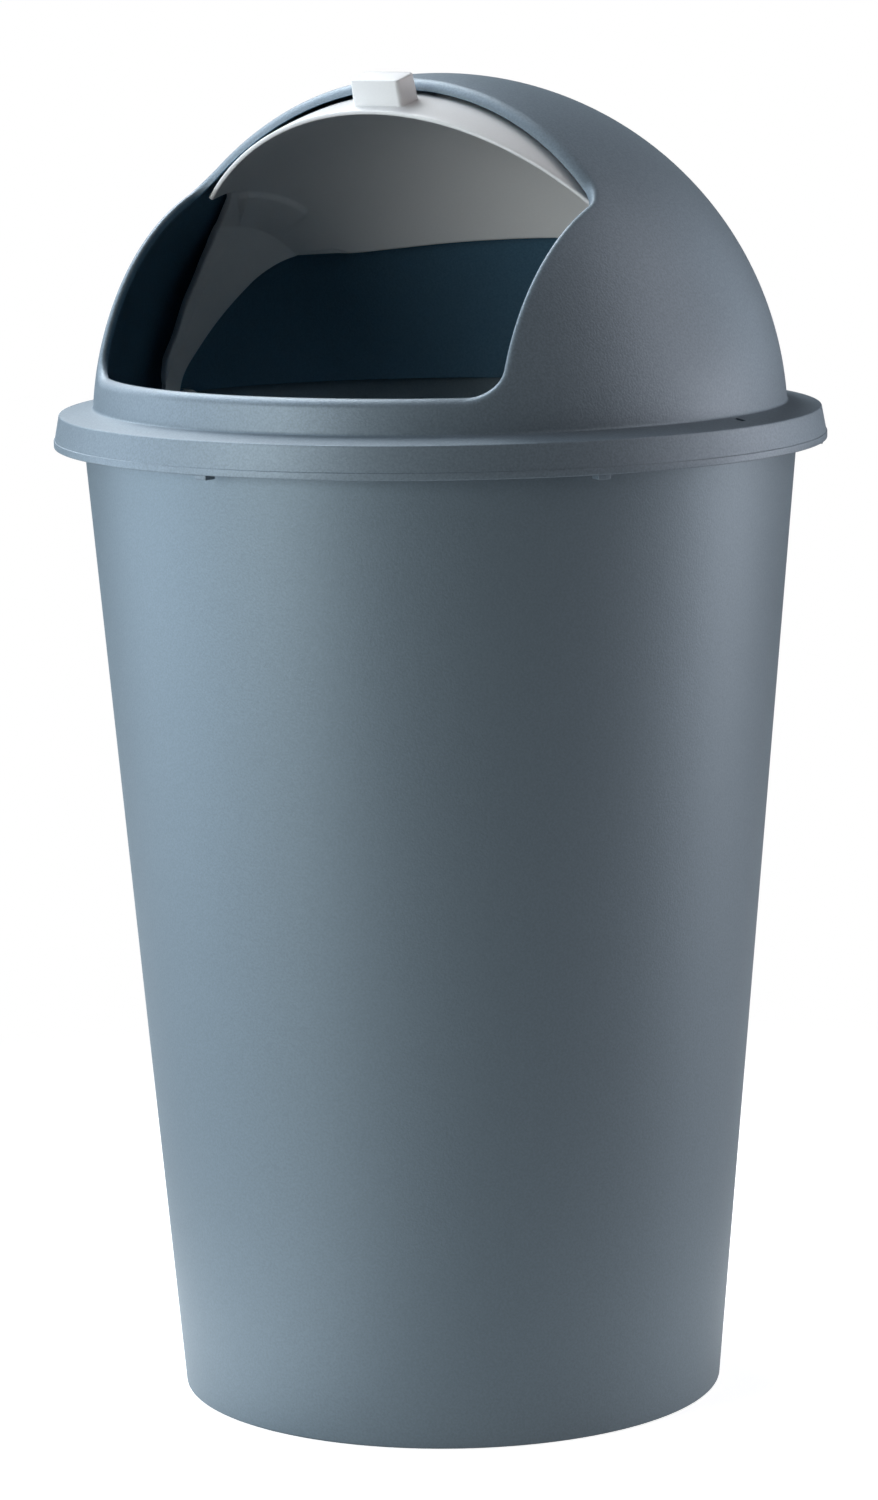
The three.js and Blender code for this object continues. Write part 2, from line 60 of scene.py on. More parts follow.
# Hood
DOME_RADIUS = 179.7
HOOD_WALL = 2.5
PIVOT_HEIGHT = 508.0
COLLAR_FOOT_HEIGHT = 519.0
COLLAR_FOOT_ROUND = 1.4
COLLAR_FALL_DEG = 10.3
COLLAR_TOP_FALL_DEG = 9.4
SHOULDER_ROUND = 1.0
SKIRT_RADIUS = 200.0
SKIRT_BOTTOM_HEIGHT = 499.4
SKIRT_FLARE = 2.7
SKIRT_BEAD_HEIGHT = 3.6
SKIRT_BEAD_PROUD = 0.5
SKIRT_EDGE_ROUND = 0.6
HOOD_SEAT_GAP = 0.3
LOCATING_LIP_DEPTH = 0.6
LOCATING_LIP_GAP = 2.4

# Throw-in opening in the dome
OPENING_HALF_WIDTH = 125.3
OPENING_SILL_RISE = 28.5
OPENING_ARCH_LEAN_DEG = 8.6
OPENING_ARCH_SETBACK = 55.8
OPENING_SILL_CORNER = 13.0
OPENING_ARCH_CORNER = 8.0
OPENING_LIP_WALL = 2.5
OPENING_LIP_DEPTH = 5.0
OPENING_LIP_ROLL = 4.6
OPENING_LIP_END_ROUND = 0.6
OPENING_MIDDLE_RISE_DEG = 45.0

# Slots over the pivots, lugs inside the skirt, sockets under the dome's foot
SLOT_LENGTH = 6.0
SLOT_WIDTH = 4.0
SLOT_FROM_FOOT = 0.8
SLOT_SKIN = 0.35
SLOT_HOLLOW_MARGIN = 2.5
LUG_COUNT = 6
LUG_WIDTH = 7.0
LUG_DROP = 2.6
LUG_RISE = 4.0
LUG_RIM_GAP = 0.6
LUG_BITE = 0.4
LUG_ROUND = 0.5
PIN_RADIUS = 4.0
PIN_GAP = 0.4
SOCKET_RADIUS = 10.0
SOCKET_FLAP_GAP = 1.5
SOCKET_BUCKET_GAP = 1.6
PIN_END_GAP = 1.0

# Flap: the shell about the pivots, then a ledge, a band and a plate at each side. A rho is a distance from
# the pivots' axis, and a reach is a distance along it from the middle
FLAP_DOME_GAP = 4.7
FLAP_WALL = 2.5
FLAP_FRONT_LEAN_DEG = 25.7
FLAP_FRONT_OFFSET = 21.0
FLAP_FRONT_FROM_HEIGHT = 100.0
FLAP_EDGE_ROUND = 1.0
TIP_RHO = 117.7
TIP_ROUND = 1.2
LEDGE_RHO = 113.5
LEDGE_REACH = 124.4
LEDGE_TOP_ROUND = 0.8
LEDGE_FOOT_ROUND = 1.2
BAND_RHO = 98.0
BAND_REACH = 137.2
BAND_FOOT_ROUND = 0.7
PLATE_FOOT_RHO = 12.0
PLATE_FOOT_REACH = 168.0
BOSS_RADIUS = 10.0
BOSS_INNER_REACH = 166.5
BOSS_OUTER_REACH = 170.2
PIN_END_ROUND = 0.5

# Lines of the flap in side view, from the pivots: backwards, with a minus for forwards, then up
ARM_FRONT_LINE = (
    (-3.0, -12.0), (-14.0, -10.0), (-23.0, 0.0), (-27.2, 14.0), (-25.5, 26.0), (-21.8, 38.0), (-20.0, 48.0),
    (-17.6, 60.0), (-14.0, 71.0), (-10.6, 81.0), (-6.6, 91.0), (-4.2, 100.0), (-6.5, 109.0), (-11.5, 119.0),
)
CREASE_LINE = (
    (-3.0, -12.1), (-14.0, -10.1), (-23.0, 0.0), (-26.8, 14.0), (-22.5, 26.0), (-16.0, 36.0), (-13.6, 47.0),
    (-9.6, 60.0), (-4.4, 74.6), (3.1, 87.0), (8.4, 96.6), (4.0, 106.0), (-0.8, 116.0), (-2.5, 122.0),
)
REAR_LINE = (
    (-6.4, 7.0), (-6.1, 19.5), (1.6, 32.7), (9.3, 44.0), (17.4, 53.7), (25.8, 62.2), (34.3, 69.4),
    (46.7, 75.8), (59.2, 79.2), (69.4, 80.3), (80.0, 79.5), (90.0, 79.1), (107.0, 80.9), (126.0, 83.8),
    (146.0, 86.6), (160.0, 88.0),
)
STRIP_TURN_OUT = 0.28
STRIP_THICKENING = 0.17
STRIP_TOP_RHO = 117.0
STRIP_TOP_REACH = 126.5
WALL_RUN = 4.0
CREASE_RUN_LEAST = 0.3
WALL_FOOT_RUN_LEAST = 0.2
FACET_FADE = (48.0, 54.0)
FACET_RHOS = (99.0, 101.5)
GUSSET_MIDDLE_RHO = 107.0
GUSSET_HALF_SPAN = 10.5
GUSSET_HEIGHT = 5.2
GUSSET_STEP = 1.0

# Knob: its flat front is lower than the middle of its arched back
KNOB_WIDTH = 31.5
KNOB_DEPTH = 15.8
KNOB_FRONT_HEIGHT = 12.9
KNOB_BACK_HEIGHT = 14.2
KNOB_CORNER = 2.5
KNOB_TOP_ROUND = 1.0
KNOB_WIDTH_DRAFT_SHARE = 0.02
KNOB_DEPTH_DRAFT_SHARE = 0.06
KNOB_ANGLE_DEG = 75.6
KNOB_FOOT_FLARE = 0.7
KNOB_TOP_SCALES = (0.9, 0.75, 0.55, 0.35, 0.15)

# Fineness of the visible surfaces
COLUMNS = 720
STRIP_COLUMNS = 24
WALL_COLUMNS = 8
PLATE_COLUMNS = 180
SHELL_ROWS = 150
TIP_ROWS = 13
FOLD_ROWS = 4
PLATE_ROWS = 59
EDGE_ROWS = 4
LINE_STEPS = 12
STRAIGHT_LINE_POINTS = 200
DOME_ROWS = 64
ROUND_ROWS = 6
BEAD_ROWS = 2
LIP_END_ROWS = 3
BEVEL_ROWS = 3
KNOB_FOOT_ROWS = 4
KNOB_WALL_ROWS = 8
ROD_COLUMNS = 64
EDGE_FINENESS = 8
EDGE_BEND_WEIGHT = 0.6
EDGE_SEARCH_STEPS = 45
EDGE_SEARCH_DEG = 80.0
WELD_DISTANCE = 0.001
LEAST_TURN = 1e-6
BUCKET_SHARP_DEG = 35.0
HOOD_SHARP_DEG = 35.0
FLAP_SHARP_DEG = 40.0
KNOB_SHARP_DEG = 50.0

# Plastics: pearl is how much they shine like metal, grain how deep and fleck how coloured their specks are
PLASTICS = {
    "bucket": {"color": (0.184, 0.238, 0.28), "roughness": 0.5, "pearl": 0.5, "grain": 0.35, "fleck": 0.06},
    "hood": {"color": (0.2, 0.252, 0.298), "roughness": 0.5, "pearl": 0.35, "grain": 0.5, "fleck": 0.1},
    "flap": {"color": (0.8, 0.8, 0.8), "roughness": 0.3, "pearl": 0, "grain": 0.1, "fleck": 0.01},
    "knob": {"color": (0.8, 0.8, 0.8), "roughness": 0.4, "pearl": 0, "grain": 0.15, "fleck": 0.01},
}
# Painted shade inside the hood: its colour is multiplied by this, darker and bluer, on faces that look
# towards the pivots' middle, fading out over the run of facing below
HOOD_INNER_PAINTED_SHADE = (0.42, 0.72, 0.9)
PAINTED_SHADE_FACING = (-0.5, -0.1)
PLASTIC_IOR = 1.48
ROUGHNESS_SPREAD = 0.03
GRAIN_SCALE = 900.0
GRAIN_DETAIL = 3
GRAIN_SPREAD = (0.35, 0.65)
GRAIN_DEPTH = 0.00025
CLOUD_SCALE = 9.0
CLOUD_DETAIL = 2
WHITE = (1, 1, 1, 1)

# Floor and background, in metres
FLOOR_HALF_SIZE = 3.0
FLOOR_COLOR = (0.5, 0.5, 0.5)
FLOOR_SHOWN_COLOR = (0.75, 0.75, 0.75)
FLOOR_SHOWN_GLOW = 0.75
FLOOR_FADE_RADII = (0.35, 0.9)
FLOOR_NEAR_GLOW = 0.22
FLOOR_LEFT_GLOW = 0.75
FLOOR_RIGHT_GLOW = 0.38
FLOOR_NEAR_RADII = (0.25, 0.45)
FLOOR_SIDE_RUN = (0.08, 0.22)
WORLD_STRENGTH = 0.003

# Camera, in metres, as the photograph's outlines give it for an image of 878 by 1500
CAMERA_PLACE = (1.5727, -2.1305, 0.7649)
CAMERA_AZIMUTH_DEG = 36.5
CAMERA_PITCH_DEG = 9.1967
CAMERA_ROLL_DEG = 0.7937
CAMERA_SENSOR_WIDTH = 36
CAMERA_LENS = 122.96
CAMERA_CLIP_END = 200

# Soft boxes in metres and watts, most of them to the left and high, as the bright collar and dark middle ask:
# azimuth to the right of the camera, distance, height, width, tallness, power, colour, height they face
CLEAR = (0.98, 0.99, 1.0)
CLEAR_BLUE = (0.95, 0.98, 1.0)
CLEAR_GREEN = (0.96, 1.0, 0.99)
COOL = (0.8, 0.9, 1.0)
WARM = (1.0, 0.94, 0.96)
SOFT_BOXES = {
    "front_left_box": (-51, 1.5, 0.62, 0.7, 0.7, 10.3, CLEAR_GREEN, 0.35),
    "low_left_box": (-84, 1.5, 0.35, 0.8, 0.6, 4.5, COOL, 0.2),
    "low_rear_left_box": (-110, 1.5, 0.25, 0.7, 0.4, 2, COOL, 0.1),
    "left_box": (-105, 1.5, 0.7, 0.7, 0.9, 3.4, COOL, 0.3),
    "raised_left_box": (-80, 1.5, 1.3, 0.7, 1.5, 2.5, COOL, 0.35),
    "high_left_box": (-90, 0.9, 1.7, 0.5, 0.5, 4, COOL, 0.5),
    "steep_left_box": (-90, 0.9, 2.3, 1.2, 0.6, 3, COOL, 0.5),
    "steep_back_box": (-145, 0.9, 2.3, 0.6, 0.6, 12, CLEAR_BLUE, 0.5),
    "back_left_box": (-130, 1.5, 1.45, 0.7, 1.5, 10.5, COOL, 0.35),
    "back_box": (-155, 1.5, 1.75, 0.8, 1.5, 8, CLEAR, 0.35),
    "raised_back_box": (-150, 1.5, 2.1, 0.8, 0.8, 13, CLEAR, 0.35),
    "low_right_box": (98, 1.5, 0.4, 0.7, 0.6, 5.8, WARM, 0.25),
    "high_right_box": (92, 1.5, 1.7, 0.8, 0.9, 5.5, WARM, 0.35),
    "front_right_box": (75, 1.5, 0.9, 0.7, 0.9, 3.2, WARM, 0.35),
    "rear_right_box": (125, 1.5, 0.9, 0.7, 0.9, 2.9, COOL, 0.35),
}

# Sizes that follow from the ones above
BUCKET_TAPER = (BUCKET_MOUTH_RADIUS - BUCKET_FOOT_RADIUS) / BUCKET_HEIGHT
COLLAR_FALL = math.tan(math.radians(COLLAR_FALL_DEG))
DOME_INNER_RADIUS = DOME_RADIUS - HOOD_WALL
LIP_INNER_RADIUS = DOME_RADIUS - OPENING_LIP_DEPTH
FLAP_RADIUS = DOME_INNER_RADIUS - FLAP_DOME_GAP
SKIRT_TOP_RADIUS = SKIRT_RADIUS - SKIRT_FLARE
SHOULDER_RADIUS = SKIRT_TOP_RADIUS - SHOULDER_ROUND * (1 - math.sin(math.radians(COLLAR_TOP_FALL_DEG)))
DOME_FOOT_RADIUS = math.sqrt(DOME_RADIUS ** 2 - (COLLAR_FOOT_HEIGHT - PIVOT_HEIGHT) ** 2)
SOCKET_INNER_REACH = FLAP_RADIUS + SOCKET_FLAP_GAP
PIVOT = np.array([0.0, 0.0, PIVOT_HEIGHT])


def bucket_radius(height):
    return BUCKET_FOOT_RADIUS + BUCKET_TAPER * height


def collar_top(radius):
    return COLLAR_FOOT_HEIGHT - (radius - DOME_FOOT_RADIUS) * COLLAR_FALL


def collar_underside(radius):
    return collar_top(radius) - HOOD_WALL


SOCKET_OUTER_REACH = bucket_radius(PIVOT_HEIGHT - SOCKET_RADIUS) - BUCKET_WALL - SOCKET_BUCKET_GAP


def mesh_object(name, points, faces):
    """A smooth-shaded mesh from points in millimetres, its faces turned outwards."""
    mesh = bpy.data.meshes.new(name)
    mesh.from_pydata([tuple(point) for point in np.asarray(points, float) * MM], [], faces)
    edit = bmesh.new()
    edit.from_mesh(mesh)
    bmesh.ops.remove_doubles(edit, verts=edit.verts, dist=WELD_DISTANCE * MM)
    bmesh.ops.recalc_face_normals(edit, faces=edit.faces)
    edit.to_mesh(mesh)
    edit.free()
    for polygon in mesh.polygons:
        polygon.use_smooth = True
    piece = bpy.data.objects.new(name, mesh)
    bpy.context.scene.collection.objects.link(piece)
    return piece


def apply_modifiers(piece):
    graph = bpy.context.evaluated_depsgraph_get()
    mesh = bpy.data.meshes.new_from_object(piece.evaluated_get(graph))
    piece.modifiers.clear()
    piece.data = mesh


def combine(piece, tools, operation):
    """Joins tools that lie apart to a piece or cuts them out of it, all at once, and removes them."""
    edit = bmesh.new()
    for tool in tools:
        edit.from_mesh(tool.data)
    together = bpy.data.meshes.new("tools")
    edit.to_mesh(together)
    edit.free()
    tools[0].data = together
    modifier = piece.modifiers.new("tools", "BOOLEAN")
    modifier.operation = operation
    modifier.solver = "EXACT"
    modifier.object = tools[0]
    apply_modifiers(piece)
    for tool in tools:
        bpy.data.objects.remove(tool)


def sharpen(piece, degrees):
    piece.data.set_sharp_from_angle(angle=math.radians(degrees))


def arc(centre_x, centre_y, radius, from_deg, to_deg, steps):
    """Points of an arc in a profile's plane."""
    angles = np.radians(np.linspace(from_deg, to_deg, steps + 1))
    return [(centre_x + radius * math.cos(a), centre_y + radius * math.sin(a)) for a in angles]


def fillet(before, corner, after, radius, steps):
    """A round corner between two straight runs of a profile, as a short curve tangent to both."""
    corner = np.array(corner, float)
    starts = []
    for other in (before, after):
        run = np.array(other, float) - corner
        starts.append(corner + run / np.linalg.norm(run) * radius)
    points = []
    for t in np.linspace(0, 1, steps + 1):
        points.append(tuple((1 - t) ** 2 * starts[0] + 2 * t * (1 - t) * corner + t ** 2 * starts[1]))
    return points


def rings_of(profile, angles):
    """Rings of a profile of radius and height, turned about the Z axis."""
    rings = []
    for radius, height in profile:
        level = np.full(len(angles), height)
        rings.append(np.stack([radius * np.cos(angles), radius * np.sin(angles), level], 1))
    return rings


def loft(rings, closed):
    """Points and faces of a skin through rings of equal counts, a closed one back to its first ring."""
    count = len(rings[0])
    faces = []
    last = len(rings) if closed else len(rings) - 1
    for row in range(last):
        below = row * count
        above = ((row + 1) % len(rings)) * count
        for i in range(count):
            j = (i + 1) % count
            faces.append((below + i, below + j, above + j, above + i))
    return np.concatenate(rings), faces


def turned(name, profile, steps):
    """A closed solid of revolution whose profile starts and ends on the axis."""
    angles = np.linspace(0, 2 * math.pi, steps, endpoint=False)
    points, faces = loft(rings_of(profile[1:-1], angles), False)
    count = len(points)
    points = np.concatenate([points, [[0, 0, profile[0][1]]], [[0, 0, profile[-1][1]]]])
    for i in range(steps):
        j = (i + 1) % steps
        faces.append((i, count, j))
        faces.append((count - steps + i, count - steps + j, count + 1))
    return mesh_object(name, points, faces)


def build_bucket():
    foot_outer = BUCKET_FOOT_RADIUS - BUCKET_EDGE_RADIUS
    foot_inner = foot_outer - FOOT_RING_WIDTH
    rim_inner = BUCKET_MOUTH_RADIUS - BUCKET_WALL
    lip_inner = RIM_RADIUS - RIM_LIP_WALL

    def rim_top(radius):
        return collar_underside(radius) - HOOD_SEAT_GAP

    flange = rim_top(lip_inner) - BUCKET_WALL
    lip_bottom = rim_top(RIM_RADIUS) - RIM_DROP
    floor_top = FLOOR_LIFT + BUCKET_WALL
    bend = floor_top + BUCKET_EDGE_RADIUS
    wall_foot = bucket_radius(bend) - BUCKET_WALL
    outer_top = (RIM_RADIUS, rim_top(RIM_RADIUS))
    inner_top = (rim_inner, rim_top(rim_inner))
    profile = [
        (0, FLOOR_LIFT),
        (foot_inner - FOOT_RING_SLOPE_WIDTH, FLOOR_LIFT),
        (foot_inner, 0),
        *arc(foot_outer, BUCKET_EDGE_RADIUS, BUCKET_EDGE_RADIUS, -90, 0, 2 * ROUND_ROWS),
        (bucket_radius(flange), flange),
        (lip_inner, flange),
        (lip_inner, lip_bottom),
        (RIM_RADIUS, lip_bottom),
        *fillet((RIM_RADIUS, lip_bottom), outer_top, inner_top, RIM_ROUND, ROUND_ROWS),
        *fillet(outer_top, inner_top, (wall_foot, floor_top), RIM_ROUND, ROUND_ROWS),
        *arc(wall_foot - BUCKET_EDGE_RADIUS, bend, BUCKET_EDGE_RADIUS, 0, -90, ROUND_ROWS),
        (0, floor_top),
    ]
    bucket = turned("bucket_shell", profile, COLUMNS // 2)
    sharpen(bucket, BUCKET_SHARP_DEG)
    return bucket


def beyond_rectangle(x, y, half_width, bottom, top, radius):
    """How far points lie outside a rounded rectangle in its plane, negative inside it."""
    across = np.abs(x) - half_width + radius
    along = np.maximum(bottom + radius - y, y - top + radius)
    outside = np.hypot(np.maximum(across, 0), np.maximum(along, 0))
    return outside + np.minimum(np.maximum(across, along), 0) - radius


def beyond_opening(points):
    """How far points, measured from between the pivots, lie outside the opening."""
    reach = 2 * DOME_RADIUS
    lean = math.radians(OPENING_ARCH_LEAN_DEG)
    x, y, z = points.T
    back = (y + OPENING_ARCH_SETBACK) * math.cos(lean) - z * math.sin(lean)
    front_view = beyond_rectangle(x, z, OPENING_HALF_WIDTH, OPENING_SILL_RISE, reach, OPENING_SILL_CORNER)
    arch_view = beyond_rectangle(x, back, OPENING_HALF_WIDTH, -reach, 0, OPENING_ARCH_CORNER)
    return np.maximum(front_view, arch_view)


def opening_edge(radius, margin, turns):
    """The opening's edge on a sphere about the pivots' middle, grown by a margin."""
    rise = math.radians(OPENING_MIDDLE_RISE_DEG)
    middle = np.array([0, -math.cos(rise), math.sin(rise)])
    up = np.array([0, math.sin(rise), math.cos(rise)])
    right = np.array([1.0, 0, 0])
    outward = np.cos(turns)[:, None] * right + np.sin(turns)[:, None] * up
    near = np.zeros(len(turns))
    far = np.full(len(turns), math.radians(EDGE_SEARCH_DEG))
    for _ in range(EDGE_SEARCH_STEPS):
        angle = (near + far) / 2
        points = radius * (np.cos(angle)[:, None] * middle + np.sin(angle)[:, None] * outward)
        inside = beyond_opening(points) < margin
        near = np.where(inside, angle, near)
        far = np.where(inside, far, angle)
    return points


def edge_turns():
    """Turns about the opening's middle for its columns, from the sill's middle and closer at the bends."""
    fine = COLUMNS * EDGE_FINENESS
    turns = -math.pi / 2 + np.linspace(0, 2 * math.pi, fine + 2)
    points = opening_edge(DOME_RADIUS, 0, turns)
    runs = np.diff(points, axis=0)
    lengths = np.linalg.norm(runs, axis=1)
    directions = runs / lengths[:, None]
    bends = np.arccos(np.clip((directions[1:] * directions[:-1]).sum(1), -1, 1)) / (2 * math.pi)
    weights = lengths[:fine] / lengths[:fine].sum() + bends[:fine] * EDGE_BEND_WEIGHT
    sums = np.concatenate([[0], np.cumsum(weights)])
    wanted = sums[-1] * np.arange(COLUMNS) / COLUMNS
    return np.interp(wanted, sums, turns[:fine + 1])


def sphere_rows(start, end, rows):
    """Rings along great circles of a sphere about the pivots' middle, from one ring to another."""
    a = start / np.linalg.norm(start, axis=1)[:, None]
    b = end / np.linalg.norm(end, axis=1)[:, None]
    radius = np.linalg.norm(start, axis=1).mean()
    angle = np.arccos(np.clip((a * b).sum(1), -1, 1))[:, None]
    steps = np.linspace(0, 1, rows + 1)
    return [radius * (np.sin((1 - t) * angle) * a + np.sin(t * angle) * b) / np.sin(angle) for t in steps]


def dome_foot_ring(radius, height, angles):
    """The ring of a sphere about the pivots' middle at a height, measured from that middle."""
    rise = height - PIVOT_HEIGHT
    around = math.sqrt(radius ** 2 - rise ** 2)
    return np.stack([around * np.cos(angles), around * np.sin(angles), np.full(len(angles), rise)], 1)


def hood_lower_profile():
    """The profile of the dome's foot, collar and skirt, from outside round to the inner foot of the dome."""
    shoulder_fall = math.radians(COLLAR_TOP_FALL_DEG)
    shoulder_top = COLLAR_FOOT_HEIGHT - (SHOULDER_RADIUS - DOME_FOOT_RADIUS) * math.tan(shoulder_fall)
    shoulder_bottom = shoulder_top - SHOULDER_ROUND * math.cos(shoulder_fall)
    bead_top = SKIRT_BOTTOM_HEIGHT + SKIRT_BEAD_HEIGHT
    lip_outer = BUCKET_MOUTH_RADIUS - BUCKET_WALL - LOCATING_LIP_GAP
    lip_bottom = collar_underside(lip_outer) - LOCATING_LIP_DEPTH
    foot_start = (
        math.sqrt(DOME_RADIUS ** 2 - (COLLAR_FOOT_HEIGHT + COLLAR_FOOT_ROUND - PIVOT_HEIGHT) ** 2),
        COLLAR_FOOT_HEIGHT + COLLAR_FOOT_ROUND,
    )
    foot_corner = (DOME_FOOT_RADIUS, COLLAR_FOOT_HEIGHT)
    foot_end = (SHOULDER_RADIUS, shoulder_top)
    bottom_outer = (SKIRT_RADIUS, SKIRT_BOTTOM_HEIGHT)
    bottom_inner = (SKIRT_RADIUS - HOOD_WALL, SKIRT_BOTTOM_HEIGHT)
    bead_outer = (SKIRT_RADIUS, bead_top)
    bead_inner = (SKIRT_RADIUS - SKIRT_BEAD_PROUD, bead_top + SKIRT_BEAD_PROUD / 2)
    inner_top = (SKIRT_TOP_RADIUS - HOOD_WALL, shoulder_bottom)
    lip_outer_bottom = (lip_outer, lip_bottom)
    inner_foot = (math.sqrt(DOME_INNER_RADIUS ** 2 - (lip_bottom - PIVOT_HEIGHT) ** 2), lip_bottom)
    shoulder_middle = (SKIRT_TOP_RADIUS - SHOULDER_ROUND, shoulder_bottom)
    shoulder = arc(*shoulder_middle, SHOULDER_ROUND, 90 - COLLAR_TOP_FALL_DEG, 0, 2 * ROUND_ROWS)
    return [
        *fillet(foot_start, foot_corner, foot_end, COLLAR_FOOT_ROUND, ROUND_ROWS),
        *shoulder,
        bead_inner,
        *fillet(bead_inner, bead_outer, bottom_outer, SKIRT_BEAD_PROUD / 2, BEAD_ROWS),
        *fillet(bead_outer, bottom_outer, bottom_inner, SKIRT_EDGE_ROUND, ROUND_ROWS),
        *fillet(bottom_outer, bottom_inner, inner_top, SKIRT_EDGE_ROUND, ROUND_ROWS),
        inner_top,
        (SHOULDER_RADIUS - HOOD_WALL, collar_underside(SHOULDER_RADIUS - HOOD_WALL)),
        (lip_outer, collar_underside(lip_outer)),
        lip_outer_bottom,
        inner_foot,
    ]


def hood_skin():
    """The whole moulding as one closed skin: lip, dome, collar, skirt and back up inside."""
    turns = edge_turns()
    angles = -math.pi / 2 + 2 * math.pi * np.arange(COLUMNS) / COLUMNS
    lower = hood_lower_profile()
    roll = []
    for angle in np.radians(np.linspace(0, 90, 2 * ROUND_ROWS + 1)):
        sink = OPENING_LIP_ROLL * (1 - math.sin(angle))
        roll.append((DOME_RADIUS - sink, OPENING_LIP_ROLL * (1 - math.cos(angle))))
    end_outer = (LIP_INNER_RADIUS, 0)
    end_inner = (LIP_INNER_RADIUS, OPENING_LIP_WALL)
    turn_in = (DOME_INNER_RADIUS, OPENING_LIP_WALL)
    beyond = (DOME_INNER_RADIUS, OPENING_LIP_WALL + OPENING_LIP_ROLL)
    inner_lip = [
        *fillet(beyond, turn_in, end_inner, OPENING_LIP_END_ROUND, LIP_END_ROWS),
        *fillet(turn_in, end_inner, end_outer, OPENING_LIP_END_ROUND, LIP_END_ROWS),
        *fillet(end_inner, end_outer, roll[0], OPENING_LIP_END_ROUND, LIP_END_ROWS),
    ]
    lip = [opening_edge(radius, margin, turns) for radius, margin in inner_lip + roll]
    outer_foot = dome_foot_ring(DOME_RADIUS, lower[0][1], angles)
    inner_foot = dome_foot_ring(DOME_INNER_RADIUS, lower[-1][1], angles)
    dome = sphere_rows(lip[-1], outer_foot, DOME_ROWS)[1:]
    inside = sphere_rows(inner_foot, lip[0], DOME_ROWS)[:-1]
    about_pivots = [ring + PIVOT for ring in lip + dome]
    inner_rows = [ring + PIVOT for ring in inside]
    rings = about_pivots + rings_of(lower[1:-1], angles) + inner_rows
    return loft(rings, True)


def box_tool(name, low, high, bevel):
    """A box between two corners, with round edges where a bevel is given."""
    low, high = np.array(low, float), np.array(high, float)
    corners = [[x, y, z] for x in (0, 1) for y in (0, 1) for z in (0, 1)]
    points = low + np.array(corners) * (high - low)
    faces = [(0, 1, 3, 2), (4, 6, 7, 5), (0, 4, 5, 1), (2, 3, 7, 6), (0, 2, 6, 4), (1, 5, 7, 3)]
    tool = mesh_object(name, points, faces)
    if bevel:
        modifier = tool.modifiers.new("round", "BEVEL")
        modifier.width = bevel * MM
        modifier.segments = BEVEL_ROWS
        apply_modifiers(tool)
    return tool


def rod_tool(name, stations, degrees):
    """A rod on the pivots' axis from stations of radius and reach, turned about the Z axis."""
    angles = np.linspace(0, 2 * math.pi, ROD_COLUMNS, endpoint=False)
    rings = []
    for radius, reach in stations:
        around = np.stack([radius * np.cos(angles), PIVOT_HEIGHT + radius * np.sin(angles)], 1)
        rings.append(np.column_stack([np.full(ROD_COLUMNS, reach), around]))
    points, faces = loft(rings, False)
    faces.append(tuple(range(ROD_COLUMNS)))
    faces.append(tuple(range(len(points) - ROD_COLUMNS, len(points))))
    return turn_tool(mesh_object(name, points, faces), degrees)


def turn_tool(tool, degrees):
    tool.data.transform(Matrix.Rotation(math.radians(degrees), 4, "Z"))
    return tool


def slot_hollow(slot_from):
    """A hollow under the skin round a slot, so that nothing light is seen through it."""
    low_x = slot_from - LOCATING_LIP_DEPTH
    high_x = slot_from + SLOT_LENGTH + SLOT_HOLLOW_MARGIN
    half_width = SLOT_WIDTH / 2 + SLOT_HOLLOW_MARGIN
    rings = []
    for x in (low_x, high_x):
        bottom, top = collar_underside(x) - LOCATING_LIP_DEPTH, collar_top(x) - SLOT_SKIN
        corners = ((-half_width, bottom), (half_width, bottom), (half_width, top), (-half_width, top))
        rings.append([(x, *corner) for corner in corners])
    points = np.array(rings, float).reshape(-1, 3)
    faces = [(0, 1, 2, 3), (7, 6, 5, 4), (0, 4, 5, 1), (1, 5, 6, 2), (2, 6, 7, 3), (3, 7, 4, 0)]
    return mesh_object("slot_hollow", points, faces)


def build_hood():
    hood = mesh_object("hood_shell", *hood_skin())
    slot_from = DOME_FOOT_RADIUS + COLLAR_FOOT_ROUND + SLOT_FROM_FOOT
    web_low = (SOCKET_INNER_REACH, -SOCKET_RADIUS, PIVOT_HEIGHT)
    web_high = (SOCKET_OUTER_REACH, SOCKET_RADIUS, collar_underside(DOME_FOOT_RADIUS) + HOOD_WALL / 2)
    slot_low = (slot_from, -SLOT_WIDTH / 2, SKIRT_BOTTOM_HEIGHT)
    slot_high = (slot_from + SLOT_LENGTH, SLOT_WIDTH / 2, COLLAR_FOOT_HEIGHT + SLOT_LENGTH)
    boss_ends = ((SOCKET_RADIUS, SOCKET_INNER_REACH), (SOCKET_RADIUS, SOCKET_OUTER_REACH))
    bore_radius = PIN_RADIUS + PIN_GAP
    bore_ends = ((bore_radius, SOCKET_INNER_REACH - HOOD_WALL), (bore_radius, BUCKET_MOUTH_RADIUS))
    added, cut = [], []
    for degrees in (0, 180):
        socket = rod_tool("socket", boss_ends, degrees)
        combine(socket, [turn_tool(box_tool("web", web_low, web_high, 0), degrees)], "UNION")
        added.append(socket)
        cut.append(rod_tool("bore", bore_ends, degrees))
        cut.append(turn_tool(box_tool("slot", slot_low, slot_high, 0), degrees))
        cut.append(turn_tool(slot_hollow(slot_from), degrees))
    for index in range(LUG_COUNT):
        low = (RIM_RADIUS + LUG_RIM_GAP, -LUG_WIDTH / 2, SKIRT_BOTTOM_HEIGHT - LUG_DROP)
        high = (SKIRT_RADIUS - HOOD_WALL + LUG_BITE, LUG_WIDTH / 2, SKIRT_BOTTOM_HEIGHT + LUG_RISE)
        added.append(turn_tool(box_tool("lug", low, high, LUG_ROUND), -90 + index * 360 / LUG_COUNT))
    combine(hood, added, "UNION")
    combine(hood, cut, "DIFFERENCE")
    sharpen(hood, HOOD_SHARP_DEG)
    return hood


